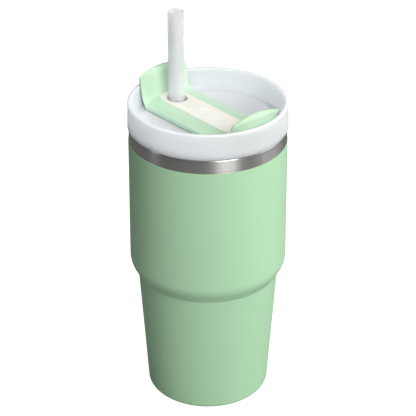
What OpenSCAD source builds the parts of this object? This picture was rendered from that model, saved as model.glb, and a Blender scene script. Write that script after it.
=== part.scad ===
// Insulated travel mug with a screw lid, a turning cover and a straw.
// Z runs up the axis of the mug, the base stands on z = 0,
// and the cover lies along X with the straw on the -X side.

/* [Vessel] */
// Height of the steel rim above the table
rim_z = 170; // [150:1:230]
// Outer radius of the painted wall at the top of the paint
wall_r = 45.0; // [42:0.1:50]
// How much wider the upper wall is at the shoulder
wall_flare = 0.5; // [0:0.1:1]
// Outer radius of the painted wall just above the base
base_r = 36.2; // [34:0.1:38]
// Height at which the shoulder starts to curve in
shoulder_z = 88.3; // [80:0.1:100]
// Radius of the shoulder curve
shoulder_round = 12.2; // [10:0.1:14]
// Slope of the shoulder below its curve, from the vertical
shoulder_angle = 30.5; // [28:0.5:36]
// Height of the crease where the lower body starts
crease_z = 77.25; // [74:0.05:79]
// Outer radius of the crease
crease_r = 41.0; // [39:0.1:42]
// Height of the paint's upper edge
paint_top_z = 162; // [150:1:165]

/* [Walls] */
// Thickness of the powder coat
coat_t = 0.28; // [0.2:0.01:0.4]
// Thickness of the outer steel wall
shell_t = 0.6; // [0.5:0.1:0.8]
// Thickness of the inner steel wall
liner_t = 0.5; // [0.4:0.1:0.7]
// Depth of the cup's inside surface below the painted surface
wall_depth = 3.6; // [3.4:0.1:3.7]
// Height of the cup's floor above the table
cup_floor_z = 12; // [11:0.5:16]

/* [Lid] */
// Height of the lid's rim above the vessel's rim
lid_h = 15.4; // [14:0.1:18]
// Outer radius of the lid at its rim
lid_r = 45.0; // [44:0.1:50]
// Thickness of the lid's wall at its rim
lid_wall = 2.4; // [2.2:0.1:2.5]
// Depth of the dish inside the lid, from its rim to its floor
dish_depth = 13.2; // [12.5:0.1:14]
// Thickness of the dish floor
floor_t = 2.0; // [1.6:0.1:2.4]
// Depth of the threaded plug below the vessel's rim
plug_depth = 14.5; // [13:0.5:15]

/* [Thread] */
// Rise of the lid in one full turn
thread_lead = 12; // [9:1:15]
// Number of thread starts
thread_starts = 3; // [3:1:3]
// Angle that each ridge runs round the mouth
thread_sweep = 140; // [90:10:160]
// Half the ridge height at its foot
ridge_foot = 0.8; // [0.6:0.1:0.9]
// Half the ridge height at its crest
ridge_crest = 0.45; // [0.3:0.05:0.5]

/* [Cover] */
// Half the width of the turning cover
cover_half_w = 17.1; // [15:0.1:18]
// Outer radius of the cover's upturned ends
cover_r = 41.9; // [40:0.1:42]
// Gap between the cover and the dish floor
cover_gap = 0.3; // [0.3:0.1:0.6]
// Height of the cover's crown above the dish floor
crown_h = 5.0; // [4.5:0.1:5.5]
// Height of the cover's long edges above the dish floor
edge_h = 2.5; // [2.2:0.1:3]
// Height of the straw end above the dish floor
paddle_h = 20.8; // [18:0.1:22]
// Height of the plain end above the dish floor
tab_h = 19.4; // [17:0.1:20]
// Half the width of the pale inlay
inlay_half_w = 8.25; // [7.5:0.05:8.5]

/* [Straw] */
// Distance of the straw from the axis of the mug
straw_x = 27.3; // [27:0.1:27.5]
// Outer radius of the straw
straw_r = 4.7; // [4.5:0.05:4.8]
// Wall thickness of the straw
straw_t = 0.9; // [0.7:0.1:1.2]
// Height of the straw's top above the table
straw_top_z = 230; // [215:1:240]
// Height of the straw's foot above the table
straw_foot_z = 16; // [15.5:0.5:20]
// Angle that the cover can turn to each side with the straw in it
cover_swing = 22; // [15:1:22]

/* [Hidden] */
$fn = 96;
arc_steps = 10;

// Vessel
foot_round = 2;
foot_in_r = 33;
coat_foot_angle = -46;
lower_tan = (crease_r - base_r) / (crease_z - foot_round * 2);
lower_angle = atan(lower_tan);
bottom_disc_t = 0.5;
vacuum_disc_z = 5.5;
disc_bend = 1.5;
port_r = 1.2;
dimple_r = 5;
bead_r = 2.6;
getter_x = 18;
getter_r = 4.2;
getter_t = 1.4;
base_cap_z = 1.0;
cap_panel_r = 20;
cup_corner = 5;
rim_round = 0.7;
mouth_r = wall_r - wall_depth;

// Lid
lid_top_z = rim_z + lid_h;
lid_foot_z = rim_z + 0.5;
floor_z = lid_top_z - dish_depth;
plug_foot_z = rim_z - plug_depth;
plug_r = mouth_r - 1.2;
plug_in_r = plug_r - 2.2;
groove_r = plug_r - 0.6;
groove_z = rim_z - 1.8;
dish_corner = 3;
bore_r = 3.1;

// Thread
thread_clear = 0.3;
thread_steps = 14;
thread_low_z = plug_foot_z + 5;

// Cover
cover_z = floor_z + cover_gap;
crown_z = floor_z + crown_h;
edge_z = floor_z + edge_h;
crown_r = (cover_half_w * cover_half_w + pow(crown_h - edge_h, 2)) / (2 * (crown_h - edge_h));
end_start_x = 24;
face_x = 31.4;
face_r = 5.9;
face_top_x = 38.5;
face_top_h = 15.8;
paddle_flare = [[39.2, 18], [40.6, 20.2]];
paddle_tip_x = 41;
tab_round = 3.4;
paddle_arch_r = 62;
tab_arch_r = 46;
paddle_corner = 1.6;
tab_corner = 2.6;
end_reach = 50;
foot_cone = [38.75, 40.9, 41.9];
foot_cone_h = [6.1, 13.8];
foot_edge = 1;
lip_r = 78;
lip_x = -36.4;
lip_z = 186;
lip_edge = 0.8;
inlay_end_x = 28.5;
inlay_tab_x = 24.7;
inlay_z = crown_z - 2.2;
hole_r = 5.8;
grommet_r = hole_r + 0.6;
hole_x = straw_x - 0.7;
seal_z = cover_z + 1.2;
seal_low_z = cover_z - 0.15;
pad_in = 8.6;
pad_l = 16;
pad_half_w = 15.4;
pad_r = 36.6;
slot_r = 5.6;
slot_mid_r = 27;
slot_half = cover_swing + 0.5;

// Pivot
post_r = bore_r - 0.06;
head_r = 5.2;
head_z = cover_z + 1.0;
head_t = 1.2;
clip_z = floor_z - floor_t - 2.0;
clip_t = 0.8;
clip_r = 5.4;
clip_gap = 3.4;
clip_neck = 0.5;
washer_r = 6.2;
washer_t = 0.35;
post_foot_z = clip_z - 1.2;

// Points on an arc about (x, z), from angle a to angle b
function arc(x, z, r, a, b, n = arc_steps) =
    [for (i = [0:n]) let (t = a + (b - a) * i / n) [x + r * cos(t), z + r * sin(t)]];

// Radius of the painted surface on the lower body, moved in by depth d
function lower_r(z, d) = base_r + (z - foot_round * 2) * lower_tan - d / cos(lower_angle);

// Radius of the painted surface on the upper body, moved in by depth d
function upper_r(z, d) =
    wall_r + wall_flare * (paint_top_z - z) / (paint_top_z - shoulder_z) - d;

// The shoulder from the crease up to its top, moved in by depth d
function shoulder(d) =
    let (r = shoulder_round - d,
         x = upper_r(shoulder_z, 0) - shoulder_round,
         sx = x + r * cos(shoulder_angle),
         sz = shoulder_z - r * sin(shoulder_angle),
         t = (sx - lower_r(sz, d)) / (sin(shoulder_angle) - cos(shoulder_angle) * lower_tan))
    concat([[sx - t * sin(shoulder_angle), sz - t * cos(shoulder_angle)]],
           arc(x, shoulder_z, r, -shoulder_angle, 0));

// The wall's line at depth d, from height a up to height b
function wall_line(d, a, b) =
    concat([[lower_r(a, d), a]], shoulder(d), [[upper_r(b, d), b]]);

// The rounded foot at depth d below the paint, from angle a up to the wall
function foot_x() = lower_r(foot_round, coat_t) - foot_round / cos(lower_angle);
function foot_line(d, a) =
    arc(foot_x(), foot_round, foot_round + coat_t - d, a, -lower_angle, 8);

function reversed(p) = [for (i = [len(p) - 1:-1:0]) p[i]];

// Ring of one straight ridge along a helix, root radius ra and crest radius rb
module ridge(ra, rb, z0, start) {
    rise = thread_lead * thread_sweep / 360;
    fade = [for (i = [0:thread_steps]) min(1, 0.25 + min(i, thread_steps - i) * 0.4)];
    rings = [for (i = [0:thread_steps])
        let (a = start + thread_sweep * i / thread_steps,
             z = z0 + rise * i / thread_steps,
             r = ra + (rb - ra) * fade[i])
        each [for (p = [[ra, -ridge_foot], [r, -ridge_crest], [r, ridge_crest], [ra, ridge_foot]])
            [p[0] * cos(a), p[0] * sin(a), z + p[1]]]];
    outward = rb > ra;
    sides = [for (i = [0:thread_steps - 1], j = [0:3])
        let (a = 4 * i + j, b = 4 * i + (j + 1) % 4)
        outward ? [a, b, b + 4, a + 4] : [a + 4, b + 4, b, a]];
    last = 4 * thread_steps;
    caps = outward ? [[3, 2, 1, 0], [last, last + 1, last + 2, last + 3]]
                   : [[0, 1, 2, 3], [last + 3, last + 2, last + 1, last]];
    polyhedron(points = rings, faces = concat(sides, caps), convexity = 4);
}

// All the ridges of one thread, lowered or raised by dz
module thread(ra, rb, dz) {
    for (i = [0:thread_starts - 1])
        ridge(ra, rb, thread_low_z + dz, i * 360 / thread_starts);
}

module outer_shell() {
    d_in = coat_t + shell_t;
    top = rim_z - rim_round;
    color("silver") rotate_extrude() polygon(concat(
        [[foot_in_r, shell_t], [foot_in_r, 0]],
        foot_line(coat_t, -90),
        shoulder(coat_t),
        [[upper_r(top, coat_t), top], [upper_r(top, d_in), top]],
        reversed(shoulder(d_in)),
        reversed(foot_line(d_in, -90))));
}

module powder_coat() {
    color("palegreen") rotate_extrude() polygon(concat(
        foot_line(0, coat_foot_angle),
        shoulder(0),
        [[upper_r(paint_top_z, 0), paint_top_z], [upper_r(paint_top_z, coat_t), paint_top_z]],
        reversed(shoulder(coat_t)),
        reversed(foot_line(coat_t, coat_foot_angle))));
}

// The inner wall, its rolled rim and the thread inside its mouth
module inner_liner() {
    low = cup_floor_z + cup_corner;
    d_out = wall_depth - liner_t;
    in_r = upper_r(rim_z, wall_depth);
    out_r = upper_r(rim_z, coat_t);
    color("silver") {
        rotate_extrude() polygon(concat(
            wall_line(wall_depth, low, rim_z - rim_round),
            arc(in_r + rim_round, rim_z - rim_round, rim_round, 180, 90, 6),
            arc(out_r - rim_round, rim_z - rim_round, rim_round, 90, 0, 6),
            [[out_r - shell_t, rim_z - rim_round],
             [upper_r(rim_z, d_out), rim_z - rim_round - 0.1]],
            reversed(wall_line(d_out, low, rim_z - 2))));
        thread(upper_r(rim_z, wall_depth) + 0.35, plug_r + thread_clear, 0);
    }
}

module liner_bottom() {
    low = cup_floor_z + cup_corner;
    in_r = lower_r(low, wall_depth);
    x = in_r - cup_corner;
    color("silver") rotate_extrude() polygon(concat(
        [[0, cup_floor_z]],
        arc(x, low, cup_corner, -90, 0),
        arc(x, low, cup_corner + liner_t, 0, -90),
        [[0, cup_floor_z - liner_t]]));
}

// The pressed disc that closes the vacuum, with its pumping port
module vacuum_bottom() {
    z = vacuum_disc_z;
    t = bottom_disc_t;
    bend_x = foot_in_r - t - disc_bend;
    bend_z = z - disc_bend;
    dimple = 0.4;
    color("darkgray") rotate_extrude() polygon(concat(
        [[port_r, z], [bend_x, z]],
        arc(bend_x, bend_z, disc_bend, 90, 0, 6),
        [[foot_in_r - t, 0.2], [foot_in_r, 0.2]],
        arc(bend_x, bend_z, disc_bend + t, 0, 90, 6),
        [[dimple_r + 1, z + t], [dimple_r - 1, z - dimple + t], [port_r, z - dimple + t]]));
}

module getter_pill() {
    z = vacuum_disc_z + bottom_disc_t;
    edge = 0.4;
    color("dimgray") translate([getter_x, 0, z]) rotate_extrude() polygon(
        [[0, 0], [getter_r, 0], [getter_r, getter_t - edge], [getter_r - 2 * edge, getter_t],
         [0, getter_t]]);
}

// The bead that seals the pumping port
module port_seal() {
    z = vacuum_disc_z;
    color("goldenrod") rotate_extrude() polygon(concat(
        [[0, z + 0.1], [port_r, z + 0.1], [port_r, z], [bead_r, z]],
        arc(0, z, bead_r, 0, -90, 8)));
}

// The plain cap under the base, dished in the middle
module base_cap() {
    z = base_cap_z;
    t = 0.5;
    r = foot_in_r - bottom_disc_t - 0.05;
    color("lightgray") rotate_extrude() polygon(
        [[0, z + 0.8], [cap_panel_r, z + 0.8], [cap_panel_r + 2, z], [r - t, z], [r, z + t],
         [r, z + 1.5], [r - t, z + 1.5], [r - t, z + t], [cap_panel_r + 2.3, z + t],
         [cap_panel_r + 0.3, z + 0.8 + t], [0, z + 0.8 + t]]);
}

// The mouth's sealing ring with two thin lips, in the groove of the plug
module lid_gasket() {
    low = groove_z + 0.1;
    high = lid_foot_z - 0.1;
    in_r = groove_r + 0.1;
    lip_r = mouth_r - 0.1;
    body_r = plug_r + 0.2;
    color("whitesmoke") rotate_extrude() polygon(
        [[in_r, low], [body_r, low], [lip_r, low + 0.45], [lip_r, low + 0.75],
         [body_r, low + 0.85], [body_r, high - 0.95], [lip_r, high - 0.75],
         [lip_r, high - 0.45], [body_r, high], [in_r, high]]);
}

module drink_slot() {
    z = floor_z - floor_t - 1;
    h = floor_t + 2;
    arc_outer = arc(0, 0, slot_mid_r + slot_r, 180 - slot_half, 180 + slot_half, 12);
    arc_inner = arc(0, 0, slot_mid_r - slot_r, 180 + slot_half, 180 - slot_half, 12);
    translate([0, 0, z]) {
        linear_extrude(h) polygon(concat(arc_outer, arc_inner));
        for (s = [-1, 1]) rotate(180 + s * slot_half) translate([slot_mid_r, 0, 0])
            cylinder(h = h, r = slot_r);
    }
}

// The lid: drum, dish floor and plug in one moulding
module lid_body() {
    foot_r = lid_r + 0.3;
    edge = 0.9;
    wall_in_r = lid_r - lid_wall;
    corner_r = wall_in_r - 0.3 - dish_corner;
    under_z = floor_z - floor_t;
    color("aliceblue") {
        difference() {
            rotate_extrude() polygon(concat(
                [[bore_r, under_z], [plug_in_r - 1, under_z], [plug_in_r, under_z - 1]],
                arc(plug_in_r + 0.5, plug_foot_z + 0.5, 0.5, 180, 270, 4),
                arc(plug_r - 0.8, plug_foot_z + 0.8, 0.8, -90, 0, 4),
                [[plug_r, groove_z], [groove_r, groove_z], [groove_r, lid_foot_z]],
                arc(foot_r - 0.3, lid_foot_z + 0.3, 0.3, -90, 0, 3),
                arc(lid_r - edge, lid_top_z - edge, edge, 0, 90),
                arc(wall_in_r + edge, lid_top_z - edge, edge, 90, 180),
                arc(corner_r, floor_z + dish_corner, dish_corner, 0, -90),
                [[bore_r, floor_z]]));
            drink_slot();
        }
        thread(plug_r - 0.35, mouth_r - thread_clear, -thread_lead / thread_starts / 2);
    }
}

// Everything that the turning cover may fill, as one solid of revolution
module cover_envelope(top_z, round_top) {
    r = foot_cone;
    top = round_top ? arc(cover_r - tab_round, top_z - tab_round, tab_round, 0, 90)
                    : [[r[2], top_z]];
    rotate_extrude() polygon(concat(
        [[0, cover_z]],
        arc(r[0] - foot_edge, cover_z + foot_edge, foot_edge, -90, -16, 5),
        [[r[1], floor_z + foot_cone_h[0]], [r[2], floor_z + foot_cone_h[1]]],
        top,
        [[0, top_z]]));
}

// The lip of an upturned end, which widens above the lid's rim
module cover_lip(side, top_z, round_top) {
    top = round_top ? arc(lip_r - tab_round, top_z - tab_round, tab_round, 0, 90)
                    : [[lip_r, top_z]];
    translate([side * lip_x, 0, 0]) rotate_extrude() polygon(concat(
        [[0, lip_z], [lip_r - lip_edge, lip_z], [lip_r, lip_z + 2 * lip_edge]],
        top,
        [[0, top_z]]));
}

// Front view of an upturned end: straight sides, round corners, arched top
function end_outline(top_z, arch_r, c) =
    let (m = cover_half_w - c,
         drop = pow(m, 2) / (2 * arch_r),
         corner = arc(m, top_z - drop - c, c, 0, 75, 5),
         arch = [for (i = [3:-1:-3]) let (y = m * i / 3.3) [y, top_z - y * y / (2 * arch_r)]],
         side = [[cover_half_w, 0]])
    concat(side, corner, arch, [for (p = reversed(corner)) [-p[0], p[1]]],
           [for (p = reversed(side)) [-p[0], p[1]]]);

// Side view of the inner face of an upturned end, from the bar to the top
function end_face(flare) = concat(
    arc(face_x, edge_z - 0.4 + face_r, face_r, -90, -18, 8),
    [[face_top_x, floor_z + face_top_h]],
    flare ? concat([for (p = paddle_flare) [p[0], floor_z + p[1]]],
                   [[paddle_tip_x, floor_z + paddle_h + 1]])
          : [[face_top_x + 0.1, floor_z + paddle_h + 1]]);

module cover_end(side, top_z, arch_r, corner_r, flare) {
    face = concat([[end_start_x, cover_z], [end_start_x, edge_z - 0.4]], end_face(flare),
                  [[end_reach, floor_z + paddle_h + 1], [end_reach, cover_z]]);
    intersection() {
        union() {
            cover_envelope(top_z + 0.4, !flare);
            cover_lip(side, top_z + 0.4, !flare);
        }
        rotate([90, 0, 90]) translate([0, 0, -end_reach]) linear_extrude(2 * end_reach)
            polygon(end_outline(top_z, arch_r, corner_r));
        scale([side, 1, 1]) rotate([90, 0, 0]) translate([0, 0, -end_reach])
            linear_extrude(2 * end_reach) polygon(face);
    }
}

// Plan of the inlay, grown by g
module inlay_plan(g) {
    r = inlay_half_w + g;
    for (x = [-inlay_end_x, inlay_tab_x]) translate([x, 0]) circle(r = r);
    translate([-inlay_end_x, -r]) square([inlay_end_x + inlay_tab_x, 2 * r]);
}

// Crown of the cover: a long round-topped ridge along X, raised by dz
module crown(half_w, low_z, dz) {
    a = asin(half_w / crown_r);
    top = [for (p = arc(0, crown_z - crown_r, crown_r, 90 - a, 90 + a, 16)) [p[0], p[1] + dz]];
    rotate([90, 0, 90]) translate([0, 0, -end_reach]) linear_extrude(2 * end_reach)
        polygon(concat([[half_w, low_z]], top, [[-half_w, low_z]]));
}

// Plan of the two soft pads under the cover
module pad_plan(x, g) {
    rotate(x < 0 ? 180 : 0) intersection() {
        translate([abs(x) - pad_in - g, -pad_half_w - g])
            square([pad_l + 2 * g, 2 * (pad_half_w + g)]);
        circle(r = pad_r + g);
    }
}

// The green cover: a bar with a straw end and a plain end
module rotating_cover() {
    floor_top = floor_z + crown_h + 30;
    color("lightgreen") difference() {
        union() {
            intersection() {
                cover_envelope(floor_z + 10, false);
                crown(cover_half_w, 0, 0);
            }
            cover_end(-1, floor_z + paddle_h, paddle_arch_r, paddle_corner, true);
            cover_end(1, floor_z + tab_h, tab_arch_r, tab_corner, false);
        }
        translate([0, 0, inlay_z]) linear_extrude(30) inlay_plan(0.02);
        translate([-hole_x, 0, 0]) cylinder(h = floor_top, r = hole_r);
        translate([0, 0, head_z]) cylinder(h = 10, r = head_r + 0.1);
        cylinder(h = floor_top, r = bore_r);
        for (x = [-hole_x, hole_x]) translate([0, 0, cover_z - 1])
            linear_extrude(seal_z - cover_z + 1) pad_plan(x, 0.02);
    }
}

// The pale inlay, with a plain turning arrow raised on it
module cover_inlay() {
    mark_z = crown_z - 0.6;
    color("ivory") difference() {
        union() {
            intersection() {
                translate([0, 0, inlay_z]) linear_extrude(10) inlay_plan(0);
                crown(12, inlay_z - 1, 0.12);
            }
            intersection() {
                crown(12, inlay_z - 1, 0.32);
                translate([-1, 0, mark_z]) linear_extrude(4) turn_mark();
            }
        }
        translate([-hole_x, 0, 0]) cylinder(h = floor_z * 2, r = hole_r);
    }
}

// A double-headed curved arrow that shows which way the cover turns
module turn_mark() {
    r = 4.6;
    w = 0.45;
    reach = 62;
    for (s = [0, 180]) rotate(s) {
        polygon(concat(arc(0, 0, r + w, -reach, reach, 12), arc(0, 0, r - w, reach, -reach, 12)));
        for (m = [-1, 1]) rotate(m * reach) translate([r, 0])
            polygon([[-1.3, 0], [1.3, 0], [0, m * 2.1]]);
    }
}

// Soft pad that seals the slot round the straw
module cover_seal() {
    color("whitesmoke") difference() {
        translate([0, 0, seal_low_z]) linear_extrude(seal_z - seal_low_z) pad_plan(-hole_x, 0);
        translate([-hole_x, 0, 0]) cylinder(h = floor_z * 2, r = grommet_r);
    }
}

// Soft pad that closes the slot when the cover is turned half round
module stopper_pad() {
    color("whitesmoke") translate([0, 0, seal_low_z])
        linear_extrude(seal_z - seal_low_z) pad_plan(hole_x, 0);
}

// Soft ring between the straw and the pad
module straw_grommet() {
    color("white") translate([-hole_x, 0, seal_low_z]) difference() {
        cylinder(h = seal_z - seal_low_z, r = grommet_r);
        translate([hole_x - straw_x, 0, -1]) cylinder(h = 5, r = straw_r + 0.3);
    }
}

module pivot_post() {
    color("gainsboro") rotate_extrude() polygon(
        [[0, head_z + head_t], [head_r, head_z + head_t], [head_r, head_z], [post_r, head_z],
         [post_r, clip_z], [post_r - clip_neck, clip_z],
         [post_r - clip_neck, clip_z - clip_t],
         [post_r, clip_z - clip_t], [post_r, post_foot_z + 0.4], [post_r - 0.4, post_foot_z],
         [0, post_foot_z]]);
}

module pivot_oring() {
    r = 0.8;
    z = floor_z - floor_t - r;
    color("dimgray") rotate_extrude() translate([post_r + r, z]) circle(r = r, $fn = 48);
}

module pivot_washer() {
    color("gainsboro") translate([0, 0, clip_z]) difference() {
        cylinder(h = washer_t, r = washer_r);
        translate([0, 0, -1]) cylinder(h = 3, r = post_r);
    }
}

module pivot_clip() {
    color("silver") translate([0, 0, clip_z - clip_t]) difference() {
        cylinder(h = clip_t, r = clip_r);
        translate([0, 0, -1]) cylinder(h = clip_t + 2, r = post_r - clip_neck);
        translate([0, -clip_gap / 2, -1]) cube([clip_r * 2, clip_gap, clip_t + 2]);
    }
}

// The straw, with a shallow notch across its foot
module straw() {
    h = straw_top_z - straw_foot_z;
    color("lavender", 0.7) translate([-straw_x, 0, straw_foot_z]) difference() {
        cylinder(h = h, r = straw_r);
        translate([0, 0, -1]) cylinder(h = h + 2, r = straw_r - straw_t);
        translate([0, 10, -1.2]) rotate([90, 0, 0]) cylinder(h = 20, r = 3);
    }
}

outer_shell();
powder_coat();
inner_liner();
liner_bottom();
vacuum_bottom();
getter_pill();
port_seal();
base_cap();
lid_gasket();
lid_body();
rotating_cover();
cover_inlay();
cover_seal();
stopper_pad();
straw_grommet();
pivot_post();
pivot_oring();
pivot_washer();
pivot_clip();
straw();
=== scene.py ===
import math

import bpy
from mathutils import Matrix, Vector


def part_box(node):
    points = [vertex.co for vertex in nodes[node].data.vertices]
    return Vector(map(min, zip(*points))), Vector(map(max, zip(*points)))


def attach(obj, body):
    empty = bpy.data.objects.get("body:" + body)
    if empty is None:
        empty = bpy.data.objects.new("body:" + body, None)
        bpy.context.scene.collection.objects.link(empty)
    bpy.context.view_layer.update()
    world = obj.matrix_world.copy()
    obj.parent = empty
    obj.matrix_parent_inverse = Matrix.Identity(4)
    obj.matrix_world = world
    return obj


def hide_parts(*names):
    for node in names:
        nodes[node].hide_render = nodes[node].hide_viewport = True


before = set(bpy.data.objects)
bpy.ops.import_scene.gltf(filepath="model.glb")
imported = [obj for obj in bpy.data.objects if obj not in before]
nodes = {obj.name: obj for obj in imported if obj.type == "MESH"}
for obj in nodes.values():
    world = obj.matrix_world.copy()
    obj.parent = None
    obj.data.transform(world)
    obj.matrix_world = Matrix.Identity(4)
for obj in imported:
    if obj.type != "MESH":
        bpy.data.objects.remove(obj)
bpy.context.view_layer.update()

MM = 0.001

cover_low, cover_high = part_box("rotating_cover")
inlay_low, inlay_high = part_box("cover_inlay")
straw_low, straw_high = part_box("straw")

# Heights and radii of the cover in millimetres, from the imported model
COVER_Z = cover_low.z / MM
COVER_TOP = cover_high.z / MM
COVER_R = cover_high.x / MM
HALF_W = cover_high.y / MM
FLOOR_Z = COVER_Z - 0.3
CROWN_Z = FLOOR_Z + 5.0
EDGE_Z = FLOOR_Z + 2.5
CROWN_R = (HALF_W ** 2 + (CROWN_Z - EDGE_Z) ** 2) / (2 * (CROWN_Z - EDGE_Z))
INLAY_Z = inlay_low.z / MM
INLAY_HALF_W = inlay_high.y / MM
STRAW_X = (straw_low.x + straw_high.x) / 2 / MM
STRAW_R = (straw_high.x - straw_low.x) / 2 / MM
HOLE_X = STRAW_X + 0.7
HOLE_R = 5.8
TAB_TOP = COVER_TOP - 1.4
TAB_ROUND = 3.4
INLAY_END_X = -28.5
INLAY_TAB_X = 24.7

# Shape of the cover's round outside, its lip and its two upturned ends
FOOT_R = 37.75
FOOT_ROUND = 1
CONE_LOW = (40.9, FLOOR_Z + 6.1)
CONE_HIGH = (COVER_R, FLOOR_Z + 13.8)
LIP_Z = 186
LIP_R = 78
LIP_X = -36.4
LIP_EDGE = 0.8
FACE_START = (24, EDGE_Z - 0.4)
FACE_X = 31.4
FACE_Z = EDGE_Z + 5.5
FACE_R = 5.9
FACE_TOP = (38.5, FLOOR_Z + 15.8)
FACE_END = (38.6, FLOOR_Z + 21.8)
PADDLE_FLARE = [(39.2, FLOOR_Z + 18), (40.6, FLOOR_Z + 20.2), (41.0, FLOOR_Z + 21.8)]
PADDLE_ARCH_R = 62
PADDLE_CORNER = 1.6
TAB_ARCH_R = 46
TAB_CORNER = 2.6
CORE_R = 37.6
COVER_SOFT = 0.45

# Inlay: how far it and its mark stand above the crown, its hole and its edges
INLAY_RISE = 0.12
MARK_RISE = 0.32
CHANNEL_GAP = 0.02
HOLE_RIM = 0.9
HOLE_FLARE_W = 3
HOLE_FLARE_H = 1.1
INLAY_SOFT = 0.22

# Turning mark: two bowed arrows about a point on the inlay
MARK_X = -1
MARK_R = 4.6
MARK_HALF_W = 0.45
MARK_REACH = 62
MARK_HEAD_W = 1.3
MARK_HEAD_L = 2.1
MARK_SINK = 0.6

# Straw: its wall, its rolled rims and the notch across its foot
STRAW_WALL = 0.9
STRAW_RIM = 0.45
NOTCH_R = 3
NOTCH_DROP = 1.2

# Tools reach past the piece that they cut or crop
CUT_LOW = 160
CUT_HIGH = 210
CLEAR_X = 50
CLEAR_Z = COVER_Z - 1
CROWN_REACH = 46
CROWN_WIDE = 12
END_DEPTH = 40
END_START_X = 20
END_LENGTH = 32
OVER_TOP = 0.4

# Softened edges
SOFT_SEGMENTS = 3
SOFT_ANGLE = 32


# ---------------------------------------------------------------- modelling tools

def select_only(piece):
    if bpy.context.mode != "OBJECT":
        bpy.ops.object.mode_set(mode="OBJECT")
    bpy.ops.object.select_all(action="DESELECT")
    piece.select_set(True)
    bpy.context.view_layer.objects.active = piece


def arc(x, z, r, a, b, steps):
    """Points on an arc about (x, z), from a to b degrees."""
    turns = [math.radians(a + (b - a) * i / steps) for i in range(steps + 1)]
    return [(x + r * math.cos(t), z + r * math.sin(t)) for t in turns]


def side(points):
    """Points of a side view (x, z) put on the XZ plane."""
    return [Vector((x, 0, z)) for x, z in points]


def plan(points, z):
    """Points of a top view (x, y) put at height z."""
    return [Vector((x, y, z)) for x, y in points]


def front(points, x):
    """Points of an end view (y, z) put at x."""
    return [Vector((x, y, z)) for y, z in points]


def draw_outline(name, points, fill=True):
    """Draws an outline point by point, extruding each from the one before."""
    bpy.ops.object.select_all(action="DESELECT")
    bpy.ops.mesh.primitive_plane_add(size=MM, location=points[0] * MM)
    piece = bpy.context.object
    piece.name = name
    bpy.ops.object.transform_apply(location=True, rotation=True, scale=True)
    bpy.ops.object.mode_set(mode="EDIT")
    bpy.ops.mesh.select_all(action="SELECT")
    bpy.ops.mesh.merge(type="CENTER")
    for a, b in zip(points, points[1:]):
        bpy.ops.mesh.extrude_region_move(TRANSFORM_OT_translate={"value": (b - a) * MM})
    if fill:
        bpy.ops.mesh.select_all(action="SELECT")
        bpy.ops.mesh.edge_face_add()
    return piece


def settle(piece, axes):
    """Rounds corners to a tenth of a micrometre, so that flat faces share a plane."""
    for corner in piece.data.vertices:
        for axis in axes:
            corner.co[axis] = round(corner.co[axis], 7)


def pull(vector):
    """Extrudes the drawn face into a solid along vector."""
    bpy.ops.mesh.select_all(action="SELECT")
    bpy.ops.mesh.extrude_region_move(TRANSFORM_OT_translate={"value": Vector(vector) * MM})
    bpy.ops.mesh.select_all(action="SELECT")
    bpy.ops.mesh.normals_make_consistent(inside=False)
    bpy.ops.object.mode_set(mode="OBJECT")
    settle(bpy.context.object, (0, 1, 2))


def turn(x, steps):
    """Spins the drawn line once round the upright axis at x."""
    bpy.ops.mesh.select_all(action="SELECT")
    bpy.ops.mesh.spin(steps=steps, angle=math.tau, center=(x * MM, 0, 0), axis=(0, 0, 1))
    bpy.ops.mesh.select_all(action="SELECT")
    bpy.ops.mesh.remove_doubles(threshold=0.005 * MM)
    bpy.ops.mesh.normals_make_consistent(inside=False)
    bpy.ops.object.mode_set(mode="OBJECT")
    settle(bpy.context.object, (2,))


def add_rod(name, x, r, low, high, sides=96):
    """A plain round tool, for cutting a hole or cropping a bar."""
    bpy.ops.object.select_all(action="DESELECT")
    bpy.ops.mesh.primitive_cylinder_add(
        vertices=sides, radius=r * MM, depth=(high - low) * MM,
        location=(x * MM, 0, (low + high) / 2 * MM))
    rod = bpy.context.object
    rod.name = name
    bpy.ops.object.transform_apply(location=True, rotation=True, scale=True)
    return rod


def combine(piece, tool, operation):
    """Joins, cuts or crops piece with tool, and removes the tool."""
    select_only(piece)
    bpy.ops.object.modifier_add(type="BOOLEAN")
    step = piece.modifiers[-1]
    step.operation = operation
    step.solver = "EXACT"
    step.object = tool
    bpy.ops.object.modifier_apply(modifier=step.name)
    bpy.data.objects.remove(tool)


def soften(piece, width):
    """Rounds every sharp edge of a finished solid."""
    select_only(piece)
    bpy.ops.object.mode_set(mode="EDIT")
    bpy.ops.mesh.select_all(action="SELECT")
    bpy.ops.mesh.remove_doubles(threshold=0.01 * MM)
    bpy.ops.mesh.dissolve_limited(angle_limit=math.radians(0.4))
    bpy.ops.mesh.delete_loose(use_verts=True, use_edges=True, use_faces=False)
    bpy.ops.object.mode_set(mode="OBJECT")
    bpy.ops.object.modifier_add(type="BEVEL")
    step = piece.modifiers[-1]
    step.width = width * MM
    step.segments = SOFT_SEGMENTS
    step.limit_method = "ANGLE"
    step.angle_limit = math.radians(SOFT_ANGLE)
    step.miter_outer = "MITER_ARC"
    step.use_clamp_overlap = True
    bpy.ops.object.modifier_apply(modifier=step.name)
    bpy.ops.object.shade_smooth_by_angle(angle=math.radians(40))


# ---------------------------------------------------------------- turning cover

def round_rim(r, top_z, round_top):
    """Outer corner of an upturned end: rolled over, or square."""
    if round_top:
        return arc(r - TAB_ROUND, top_z - TAB_ROUND, TAB_ROUND, 0, 90, 10)
    return [(r, top_z)]


def cover_envelope(top_z, round_top):
    """The round body that both upturned ends are cropped to."""
    line = [(0, COVER_Z)] + arc(FOOT_R, COVER_Z + FOOT_ROUND, FOOT_ROUND, -90, -16, 5)
    line += [CONE_LOW, CONE_HIGH]
    line += round_rim(COVER_R, top_z, round_top) + [(0, top_z)]
    piece = draw_outline("envelope", side(line), fill=False)
    turn(0, 160)
    return piece


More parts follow.
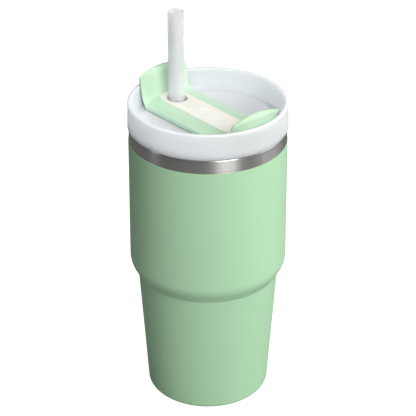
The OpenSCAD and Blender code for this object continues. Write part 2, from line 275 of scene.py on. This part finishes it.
def cover_lip(way, top_z, round_top):
    """The lip of an upturned end, which widens above the lid's rim."""
    line = [(0, LIP_Z), (LIP_R - LIP_EDGE, LIP_Z), (LIP_R, LIP_Z + 2 * LIP_EDGE)]
    line += round_rim(LIP_R, top_z, round_top) + [(0, top_z)]
    points = [Vector((x + way * LIP_X, 0, z)) for x, z in line]
    piece = draw_outline("lip", points, fill=False)
    turn(way * LIP_X, 256)
    return piece


def crown(half_w, low_z, raised):
    """A long bar with an arched top, drawn as its end view and pulled along X."""
    a = math.degrees(math.asin(half_w / CROWN_R))
    top = arc(0, CROWN_Z + raised - CROWN_R, CROWN_R, 90 - a, 90 + a, 20)
    line = [(half_w, low_z)] + top + [(-half_w, low_z)]
    piece = draw_outline("crown", front(line, -CROWN_REACH))
    pull((2 * CROWN_REACH, 0, 0))
    return piece


def end_outline(top_z, arch_r, corner_r):
    """End view of an upturned end, with round corners and an arched top."""
    w = HALF_W - corner_r
    drop = w * w / (2 * arch_r)
    corner = arc(w, top_z - drop - corner_r, corner_r, 0, 75, 5)
    arch = [(w * i / 9.9, top_z - (w * i / 9.9) ** 2 / (2 * arch_r)) for i in range(9, -10, -1)]
    right = [(HALF_W, CLEAR_Z)] + corner
    left = [(-y, z) for y, z in reversed(right)]
    return right + arch + left


def end_side(flared):
    """Side view of the inner face of an upturned end."""
    face = arc(FACE_X, FACE_Z, FACE_R, -90, -18, 12)
    face.append(FACE_TOP)
    if flared:
        face += PADDLE_FLARE
    else:
        face.append(FACE_END)
    start = [(FACE_START[0], CLEAR_Z), FACE_START]
    return start + face + [(CLEAR_X, FACE_END[1]), (CLEAR_X, CLEAR_Z)]


def cover_end(way, top_z, arch_r, corner_r, flared):
    """One upturned end; way is -1 for the straw end and 1 for the plain end."""
    line = [(way * x, z) for x, z in end_side(flared)]
    piece = draw_outline("cover_end", [Vector((x, -END_DEPTH / 2, z)) for x, z in line])
    pull((0, END_DEPTH, 0))
    view = front(end_outline(top_z, arch_r, corner_r), way * END_START_X)
    outline = draw_outline("end_outline", view)
    pull((way * END_LENGTH, 0, 0))
    combine(piece, outline, "INTERSECT")
    limit = cover_envelope(top_z + OVER_TOP, not flared)
    combine(limit, cover_lip(way, top_z + OVER_TOP, not flared), "UNION")
    combine(piece, limit, "INTERSECT")
    return piece


def inlay_plan(grow):
    """Top view of the long inlay with its two round ends."""
    r = INLAY_HALF_W + grow
    return arc(INLAY_TAB_X, 0, r, -90, 90, 32) + arc(INLAY_END_X, 0, r, 90, 270, 32)


def rotating_cover():
    """The green cover: a crowned bar with two upturned ends, a channel and a hole."""
    piece = crown(HALF_W, COVER_Z, 0)
    combine(piece, add_rod("core", 0, CORE_R, CUT_LOW, CUT_HIGH, sides=160), "INTERSECT")
    combine(piece, cover_end(-1, COVER_TOP, PADDLE_ARCH_R, PADDLE_CORNER, True), "UNION")
    combine(piece, cover_end(1, TAB_TOP, TAB_ARCH_R, TAB_CORNER, False), "UNION")
    channel = draw_outline("channel", plan(inlay_plan(CHANNEL_GAP), INLAY_Z))
    pull((0, 0, 30))
    combine(piece, channel, "DIFFERENCE")
    combine(piece, add_rod("hole", HOLE_X, HOLE_R, CUT_LOW, CUT_HIGH), "DIFFERENCE")
    piece.name = "turning_cover"
    soften(piece, COVER_SOFT)
    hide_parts("rotating_cover")
    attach(piece, "cover")
    return piece


def turn_mark():
    """A plain double-headed arrow, raised on the inlay."""
    outline = arc(0, 0, MARK_R + MARK_HALF_W, -MARK_REACH, MARK_REACH, 16)
    a = math.radians(MARK_REACH)
    tip = (MARK_R * math.cos(a) - MARK_HEAD_L * math.sin(a),
           MARK_R * math.sin(a) + MARK_HEAD_L * math.cos(a))
    wide = MARK_R + MARK_HEAD_W
    narrow = MARK_R - MARK_HEAD_W
    head = [(wide * math.cos(a), wide * math.sin(a)), tip,
            (narrow * math.cos(a), narrow * math.sin(a))]
    back = arc(0, 0, MARK_R - MARK_HALF_W, MARK_REACH, -MARK_REACH, 16)
    foot = [(px, -py) for px, py in reversed(head)]
    right = outline + head + back + foot
    left = [(-px, -py) for px, py in right]
    marks = []
    for line in (right, left):
        placed = [(px + MARK_X, py) for px, py in line]
        mark = draw_outline("mark", plan(placed, CROWN_Z - MARK_SINK))
        pull((0, 0, 4))
        marks.append(mark)
    combine(marks[0], marks[1], "UNION")
    combine(marks[0], crown(CROWN_WIDE, INLAY_Z - 1, MARK_RISE), "INTERSECT")
    return marks[0]


def hole_tool():
    """Cuts the straw hole with a rolled upper edge."""
    line = [(0, CUT_LOW), (HOLE_R, CUT_LOW)]
    line += arc(HOLE_R + HOLE_RIM, CROWN_Z - HOLE_RIM, HOLE_RIM, 180, 115, 6)
    wide = HOLE_R + HOLE_FLARE_W
    line += [(wide, CROWN_Z + HOLE_FLARE_H), (wide, CUT_HIGH), (0, CUT_HIGH)]
    points = [Vector((HOLE_X + x, 0, z)) for x, z in line]
    piece = draw_outline("hole", points, fill=False)
    turn(HOLE_X, 96)
    return piece


def cover_inlay():
    """The pale inlay with its crowned top, straw hole and turning mark."""
    piece = draw_outline("pale_inlay", plan(inlay_plan(0), INLAY_Z))
    pull((0, 0, 10))
    combine(piece, crown(CROWN_WIDE, INLAY_Z - 1, INLAY_RISE), "INTERSECT")
    combine(piece, hole_tool(), "DIFFERENCE")
    soften(piece, INLAY_SOFT)
    combine(piece, turn_mark(), "UNION")
    bpy.ops.object.shade_smooth_by_angle(angle=math.radians(30))
    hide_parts("cover_inlay")
    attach(piece, "cover")
    return piece


# ---------------------------------------------------------------- straw

def straw():
    """A soft tube with rolled rims and a notch across its foot."""
    low = straw_low.z / MM
    high = straw_high.z / MM
    bore = STRAW_R - STRAW_WALL
    mid = STRAW_X + (STRAW_R + bore) / 2
    line = arc(mid, high - STRAW_RIM, STRAW_RIM, 0, 180, 8)
    line += arc(mid, low + STRAW_RIM, STRAW_RIM, 180, 360, 8)
    piece = draw_outline("drinking_straw", side(line + line[:1]), fill=False)
    turn(STRAW_X, 96)
    bpy.ops.object.select_all(action="DESELECT")
    bpy.ops.mesh.primitive_cylinder_add(
        vertices=48, radius=NOTCH_R * MM, depth=20 * MM, rotation=(math.pi / 2, 0, 0),
        location=(STRAW_X * MM, 0, (low - NOTCH_DROP) * MM))
    notch = bpy.context.object
    bpy.ops.object.transform_apply(location=True, rotation=True, scale=True)
    combine(piece, notch, "DIFFERENCE")
    bpy.ops.object.shade_smooth_by_angle(angle=math.radians(40))
    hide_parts("straw")
    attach(piece, "straw")
    return piece


# ---------------------------------------------------------------- materials

def link(tree, a, b):
    tree.links.new(a, b)


def add_node(tree, kind, **values):
    node = tree.nodes.new(kind)
    for key, value in values.items():
        setattr(node, key, value)
    return node


def grain_group():
    """Fine moulded or sprayed grain, and broad soft patches."""
    group = bpy.data.node_groups.new("surface_grain", "ShaderNodeTree")
    face = group.interface
    face.new_socket("Position", in_out="INPUT", socket_type="NodeSocketVector")
    face.new_socket("Grain Scale", in_out="INPUT", socket_type="NodeSocketFloat")
    face.new_socket("Patch Scale", in_out="INPUT", socket_type="NodeSocketFloat")
    face.new_socket("Height", in_out="OUTPUT", socket_type="NodeSocketFloat")
    face.new_socket("Patch", in_out="OUTPUT", socket_type="NodeSocketFloat")
    start = add_node(group, "NodeGroupInput")
    end = add_node(group, "NodeGroupOutput")
    fine = add_node(group, "ShaderNodeTexNoise")
    fine.inputs["Detail"].default_value = 3
    broad = add_node(group, "ShaderNodeTexNoise")
    broad.inputs["Detail"].default_value = 4
    broad.inputs["Roughness"].default_value = 0.6
    link(group, start.outputs["Position"], fine.inputs["Vector"])
    link(group, start.outputs["Grain Scale"], fine.inputs["Scale"])
    link(group, start.outputs["Position"], broad.inputs["Vector"])
    link(group, start.outputs["Patch Scale"], broad.inputs["Scale"])
    link(group, fine.outputs["Fac"], end.inputs["Height"])
    link(group, broad.outputs["Fac"], end.inputs["Patch"])
    return group


def turned_group():
    """Fine lines that run round the axis, as turning or polishing leaves them."""
    group = bpy.data.node_groups.new("turned_lines", "ShaderNodeTree")
    face = group.interface
    face.new_socket("Position", in_out="INPUT", socket_type="NodeSocketVector")
    face.new_socket("Line Scale", in_out="INPUT", socket_type="NodeSocketVector")
    face.new_socket("Height", in_out="OUTPUT", socket_type="NodeSocketFloat")
    face.new_socket("Streak", in_out="OUTPUT", socket_type="NodeSocketFloat")
    start = add_node(group, "NodeGroupInput")
    end = add_node(group, "NodeGroupOutput")
    stretch = add_node(group, "ShaderNodeVectorMath", operation="MULTIPLY")
    lines = add_node(group, "ShaderNodeTexNoise")
    lines.inputs["Scale"].default_value = 1
    lines.inputs["Detail"].default_value = 5
    lines.inputs["Roughness"].default_value = 0.7
    coarse = add_node(group, "ShaderNodeVectorMath", operation="SCALE")
    coarse.inputs["Scale"].default_value = 0.23
    streaks = add_node(group, "ShaderNodeTexNoise")
    streaks.inputs["Scale"].default_value = 1
    streaks.inputs["Detail"].default_value = 2
    link(group, start.outputs["Position"], stretch.inputs[0])
    link(group, start.outputs["Line Scale"], stretch.inputs[1])
    link(group, stretch.outputs["Vector"], lines.inputs["Vector"])
    link(group, stretch.outputs["Vector"], coarse.inputs[0])
    link(group, coarse.outputs["Vector"], streaks.inputs["Vector"])
    link(group, lines.outputs["Fac"], end.inputs["Height"])
    link(group, streaks.outputs["Fac"], end.inputs["Streak"])
    return group


GRAIN = grain_group()
TURNED = turned_group()


def start_material(name, roughness, group, settings):
    """A new material with one pattern group on Object coordinates."""
    skin = bpy.data.materials.new(name)
    skin.use_nodes = True
    tree = skin.node_tree
    shader = tree.nodes["Principled BSDF"]
    shader.inputs["Roughness"].default_value = roughness
    place = add_node(tree, "ShaderNodeTexCoord")
    pattern = add_node(tree, "ShaderNodeGroup", node_tree=group)
    link(tree, place.outputs["Object"], pattern.inputs["Position"])
    for socket, value in settings.items():
        pattern.inputs[socket].default_value = value
    return skin, tree, shader, pattern


def vary_roughness(tree, shader, mask, low, high):
    spread = add_node(tree, "ShaderNodeMapRange")
    spread.inputs["From Min"].default_value = 0.3
    spread.inputs["From Max"].default_value = 0.7
    spread.inputs["To Min"].default_value = low
    spread.inputs["To Max"].default_value = high
    link(tree, mask, spread.inputs["Value"])
    link(tree, spread.outputs["Result"], shader.inputs["Roughness"])


def vary_colour(tree, shader, mask, first, second):
    blend = add_node(tree, "ShaderNodeMix", data_type="RGBA")
    blend.inputs["A"].default_value = (*first, 1)
    blend.inputs["B"].default_value = (*second, 1)
    link(tree, mask, blend.inputs["Factor"])
    link(tree, blend.outputs["Result"], shader.inputs["Base Color"])


def add_bump(tree, shader, height, strength, distance):
    bump = add_node(tree, "ShaderNodeBump")
    bump.inputs["Strength"].default_value = strength
    bump.inputs["Distance"].default_value = distance
    link(tree, height, bump.inputs["Height"])
    link(tree, bump.outputs["Normal"], shader.inputs["Normal"])


def plastic(name, colour, other, rough, glow=0.0, reach=0.004, bump=0.15):
    skin, tree, shader, pattern = start_material(
        name, rough, GRAIN, {"Grain Scale": 2600, "Patch Scale": 60})
    vary_colour(tree, shader, pattern.outputs["Patch"], colour, other)
    vary_roughness(tree, shader, pattern.outputs["Patch"], rough - 0.05, rough + 0.05)
    add_bump(tree, shader, pattern.outputs["Height"], bump, 0.00003)
    shader.inputs["Subsurface Weight"].default_value = glow
    shader.inputs["Subsurface Scale"].default_value = reach
    shader.inputs["Subsurface Radius"].default_value = (1, 1, 1)
    return skin


def powder_coat():
    skin, tree, shader, pattern = start_material(
        "powder_coat", 0.6, GRAIN, {"Grain Scale": 1500, "Patch Scale": 30})
    vary_colour(tree, shader, pattern.outputs["Patch"], (0.405, 0.645, 0.41), (0.415, 0.655, 0.42))
    vary_roughness(tree, shader, pattern.outputs["Patch"], 0.5, 0.58)
    shader.inputs["Specular IOR Level"].default_value = 0.1
    add_bump(tree, shader, pattern.outputs["Height"], 0.25, 0.00005)
    return skin


def steel(name, colour, other, rough):
    skin, tree, shader, pattern = start_material(
        name, rough, TURNED, {"Line Scale": (60, 60, 9000)})
    vary_colour(tree, shader, pattern.outputs["Streak"], colour, other)
    vary_roughness(tree, shader, pattern.outputs["Streak"], rough - 0.05, rough + 0.07)
    add_bump(tree, shader, pattern.outputs["Height"], 0.1, 0.00003)
    shader.inputs["Metallic"].default_value = 1
    shader.inputs["Anisotropic"].default_value = 0.95
    shader.inputs["Anisotropic Rotation"].default_value = 0.25
    grain_way = add_node(tree, "ShaderNodeTangent", direction_type="RADIAL", axis="Z")
    link(tree, grain_way.outputs["Tangent"], shader.inputs["Tangent"])
    return skin


def paint(piece, skin):
    piece.data.materials.clear()
    piece.data.materials.append(skin)


def cream_hole_wall_and_painted_light(piece, skin):
    """Gives the wall of the straw hole the cream of the inlay, as its sleeve carried down the
    hole, and partly painted light: the cream also stands in for light that comes through the
    translucent inlay into the shaded hole.
    """
    piece.data.materials.append(skin)
    for face in piece.data.polygons:
        x, y, z = face.center / MM
        if math.hypot(x - HOLE_X, y) < HOLE_R + 0.6 and z > COVER_Z + 0.6:
            face.material_index = 1


# ---------------------------------------------------------------- stage

LAMP_DISTANCE = 1.6
CAMERA_TURN = 41
MID_HEIGHT = 0.11
WHITE_LIFT = 0.93


def floor():
    bpy.ops.object.select_all(action="DESELECT")
    bpy.ops.mesh.primitive_plane_add(size=12, location=(0, 0, 0))
    piece = bpy.context.object
    piece.name = "studio_floor"
    skin = bpy.data.materials.new("studio_floor")
    skin.use_nodes = True
    shader = skin.node_tree.nodes["Principled BSDF"]
    shader.inputs["Base Color"].default_value = (0.35, 0.35, 0.35, 1)
    shader.inputs["Roughness"].default_value = 0.9
    shader.inputs["Specular IOR Level"].default_value = 0.1
    rays = skin.node_tree.nodes.new("ShaderNodeLightPath")
    lift = skin.node_tree.nodes.new("ShaderNodeMath")
    lift.operation = "MULTIPLY"
    lift.inputs[1].default_value = WHITE_LIFT
    link(skin.node_tree, rays.outputs["Is Camera Ray"], lift.inputs[0])
    shader.inputs["Emission Color"].default_value = (1, 1, 1, 1)
    link(skin.node_tree, lift.outputs["Value"], shader.inputs["Emission Strength"])
    paint(piece, skin)


def softbox(name, turn, height, size, power):
    """An area light, placed in degrees from the camera's side and above level."""
    a = math.radians(turn - CAMERA_TURN)
    e = math.radians(height)
    target = Vector((0, 0, MID_HEIGHT))
    way = Vector((math.cos(a) * math.cos(e), math.sin(a) * math.cos(e), math.sin(e)))
    data = bpy.data.lights.new(name, "AREA")
    data.shape = "RECTANGLE"
    data.size = size[0]
    data.size_y = size[1]
    data.energy = power
    lamp = bpy.data.objects.new(name, data)
    lamp.location = target + way * LAMP_DISTANCE
    lamp.rotation_euler = (-way).to_track_quat("-Z", "Y").to_euler()
    bpy.context.scene.collection.objects.link(lamp)


def lights():
    softbox("key", 28, 36, (0.72, 1.0), 24.5)
    softbox("side", 100, 32, (1.2, 1.2), 14.5)
    softbox("rim", -80, 24, (0.16, 0.8), 1.5)
    softbox("top", 0, 88, (1.4, 1.4), 14)
    world = bpy.data.worlds.new("studio")
    world.use_nodes = True
    world.node_tree.nodes["Background"].inputs["Strength"].default_value = 0.0
    bpy.context.scene.world = world


def camera():
    data = bpy.data.cameras.new("camera")
    data.lens = 135.04
    data.sensor_width = 36
    data.clip_start = 0.01
    data.clip_end = 30
    item = bpy.data.objects.new("camera", data)
    item.location = (0.5941, -0.5164, 0.5591)
    item.rotation_euler = (math.radians(60.63), 0, math.radians(49))
    bpy.context.scene.collection.objects.link(item)
    bpy.context.scene.camera = item


# ---------------------------------------------------------------- put it together

bpy.context.scene.view_settings.view_transform = "Standard"
for part in nodes.values():
    part.select_set(False)

cover = rotating_cover()
inlay = cover_inlay()
tube = straw()

green = plastic("green_plastic", (0.455, 0.63, 0.45), (0.465, 0.64, 0.46), 0.46, 0.25, 0.002)
frosted = plastic("frosted_plastic", (0.80, 0.855, 0.965), (0.81, 0.865, 0.97), 0.42, 1.0, 0.014)
cream = plastic("cream_plastic", (0.765, 0.75, 0.68), (0.775, 0.76, 0.69), 0.45, 0.4, 0.004)
white = plastic("white_plastic", (0.82, 0.8, 0.74), (0.84, 0.82, 0.76), 0.4, 0.2, 0.002)
silicone = plastic("white_silicone", (0.78, 0.79, 0.8), (0.8, 0.81, 0.82), 0.5, 0.6, 0.004)
rubber = plastic("dark_rubber", (0.03, 0.03, 0.032), (0.04, 0.04, 0.042), 0.6)
straw_skin = plastic("straw_plastic", (0.93, 0.96, 0.985), (0.94, 0.965, 0.99), 0.4, 1.0, 0.006)
straw_skin.node_tree.nodes["Principled BSDF"].inputs["Alpha"].default_value = 0.5
coat = powder_coat()
rim_steel = steel("bare_steel", (0.42, 0.41, 0.4), (0.5, 0.49, 0.475), 0.36)
cup_steel = steel("liner_steel", (0.45, 0.45, 0.44), (0.52, 0.52, 0.51), 0.3)
base_steel = steel("base_steel", (0.42, 0.42, 0.41), (0.5, 0.5, 0.49), 0.35)
clip_steel = steel("clip_steel", (0.45, 0.45, 0.44), (0.52, 0.52, 0.51), 0.3)
glass_bead = plastic("sealing_glass", (0.35, 0.28, 0.16), (0.4, 0.32, 0.18), 0.2)
getter = plastic("getter_metal", (0.2, 0.2, 0.2), (0.25, 0.25, 0.25), 0.6)

paint(cover, green)
# cream on the hole wall: the inlay's sleeve, and partly painted light that lightens the shaded
# hole
cream_hole_wall_and_painted_light(cover, cream)
paint(inlay, cream)
paint(tube, straw_skin)
finish_of = {
    "outer_shell": rim_steel, "powder_coat": coat, "inner_liner": cup_steel,
    "liner_bottom": cup_steel, "vacuum_bottom": base_steel, "getter_pill": getter,
    "port_seal": glass_bead, "base_cap": base_steel, "lid_gasket": silicone,
    "lid_body": frosted, "rotating_cover": green, "cover_inlay": cream,
    "cover_seal": silicone, "stopper_pad": silicone, "straw_grommet": white,
    "pivot_post": white, "pivot_oring": rubber, "pivot_washer": white,
    "pivot_clip": clip_steel, "straw": straw_skin,
}
for name, skin in finish_of.items():
    paint(nodes[name], skin)

floor()
lights()
camera()
